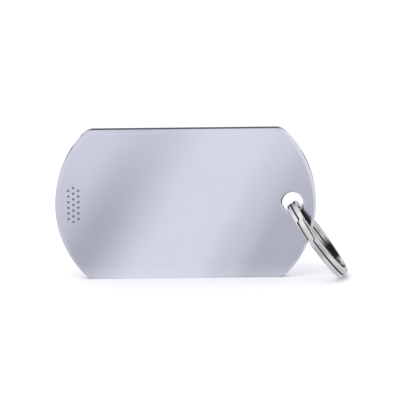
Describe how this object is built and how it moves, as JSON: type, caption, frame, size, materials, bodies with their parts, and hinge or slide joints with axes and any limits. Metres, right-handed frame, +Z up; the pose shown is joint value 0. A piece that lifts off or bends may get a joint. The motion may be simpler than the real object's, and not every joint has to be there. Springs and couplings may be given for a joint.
{
  "type": "identification tag with split ring",
  "caption": "Polished metal identification tag with round ends, standing on its long edge, with a split ring leaning from the hole at one end.",
  "frame": {"origin": "on the floor, under the middle of the plate's lower long edge", "axes": "+X along the plate towards the hole, +Y from the marked front to the back, +Z up"},
  "size_m": [0.056, 0.0172, 0.029],
  "materials": {
    "plated_tag": "mirror-polished chrome plate",
    "plated_wire": "bright nickel plate"
  },
  "bodies": {
    "root": {"tag_plate": "plated_tag", "split_ring": "plated_wire"}
  },
  "joints": []
}
